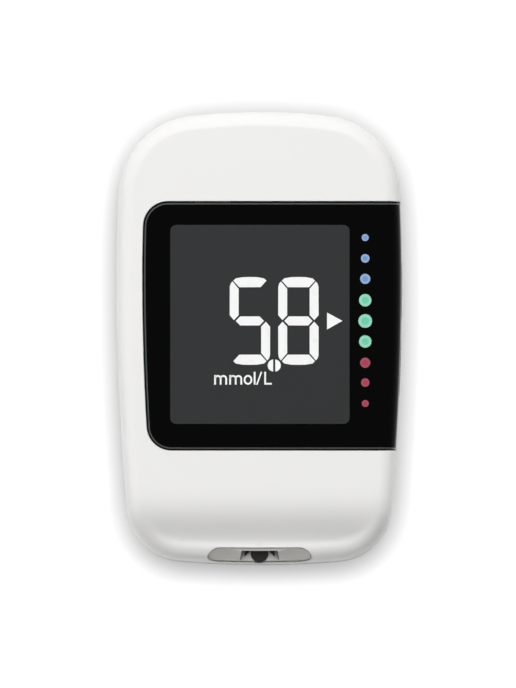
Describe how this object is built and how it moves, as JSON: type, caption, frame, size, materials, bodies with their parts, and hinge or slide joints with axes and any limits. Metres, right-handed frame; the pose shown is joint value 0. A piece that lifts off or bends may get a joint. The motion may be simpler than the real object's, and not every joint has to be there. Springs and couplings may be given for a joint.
{
  "type": "blood glucose meter",
  "caption": "Handheld blood glucose meter: white two-shell case, black lens over a numeric display, strip port, side buttons, coin cell bay.",
  "frame": {"origin": "middle of the body's outline, in the plane of its flat back, on which it lies", "axes": "+Z out of the display, +Y towards the top end, away from the strip port, +X towards the side with the buttons"},
  "size_m": [0.0486, 0.0772, 0.0153],
  "materials": {
    "white_shell": "moulded, satin gloss",
    "black_lens": "polished, printed black behind",
    "black_foam": "matt adhesive foam",
    "display_glass": "polished",
    "clear_plastic": "polished",
    "led_package": "satin",
    "white_insert": "moulded",
    "elastomer": "matt",
    "circuit_board": "solder mask",
    "black_package": "moulded",
    "tin_plate": "tin plated",
    "capacitor_ceramic": "matt",
    "gold_contact": "gold flash",
    "grey_bezel": "moulded, satin",
    "black_button": "moulded, satin",
    "switch_body": "moulded",
    "cell_steel": "nickel plated",
    "spring_contact": "nickel plated",
    "screw_steel": "dark zinc",
    "blank_plate": "printed film, blank"
  },
  "bodies": {
    "case": {"front_housing": "white_shell", "rear_housing": "white_shell", "display_lens": "black_lens", "lens_gasket": "black_foam", "lcd_front_glass": "display_glass", "lcd_rear_glass": "display_glass", "light_guide": "clear_plastic", "backlight_leds": "led_package", "display_carrier": "white_insert", "zebra_strip": "elastomer", "main_board": "circuit_board", "microcontroller": "black_package", "wireless_module": "tin_plate", "memory_chip": "black_package", "clock_crystal": "tin_plate", "chip_capacitors": "capacitor_ceramic", "strip_connector": "black_package", "strip_contacts": "gold_contact", "strip_port_bezel": "grey_bezel", "usb_shell": "tin_plate", "usb_tongue": "black_package", "switch_upper": "switch_body", "switch_lower": "switch_body", "coin_cell_left": "cell_steel", "coin_cell_right": "cell_steel", "negative_contact_left": "spring_contact", "negative_contact_right": "spring_contact", "positive_contact_left": "spring_contact", "positive_contact_right": "spring_contact", "housing_screws": "screw_steel", "rating_plate": "blank_plate"},
    "door": {"battery_door": "white_shell"},
    "upper_key": {"button_upper": "black_button"},
    "lower_key": {"button_lower": "black_button"},
    "upper_plunger": {"plunger_upper": "black_package"},
    "lower_plunger": {"plunger_lower": "black_package"}
  },
  "joints": [
    {"name": "battery_door_hinge", "type": "hinge", "parent": "case", "child": "door", "pos_m": [0, -0.0168, 0.0003], "axis": [-1, 0, 0], "range_deg": [0, 35]},
    {"name": "button_upper_press", "type": "slide", "parent": "case", "child": "upper_key", "axis": [-1, 0, 0], "range_m": [0, 0.0003], "stiffness_N_per_m": 1500},
    {"name": "button_lower_press", "type": "slide", "parent": "case", "child": "lower_key", "axis": [-1, 0, 0], "range_m": [0, 0.0003], "stiffness_N_per_m": 1500},
    {"name": "plunger_upper_travel", "type": "slide", "parent": "case", "child": "upper_plunger", "axis": [-1, 0, 0], "range_m": [0, 0.0003]},
    {"name": "plunger_lower_travel", "type": "slide", "parent": "case", "child": "lower_plunger", "axis": [-1, 0, 0], "range_m": [0, 0.0003]}
  ],
  "couplings": [
    {"joint": "plunger_upper_travel", "follows": "button_upper_press", "ratio": 1},
    {"joint": "plunger_lower_travel", "follows": "button_lower_press", "ratio": 1}
  ]
}
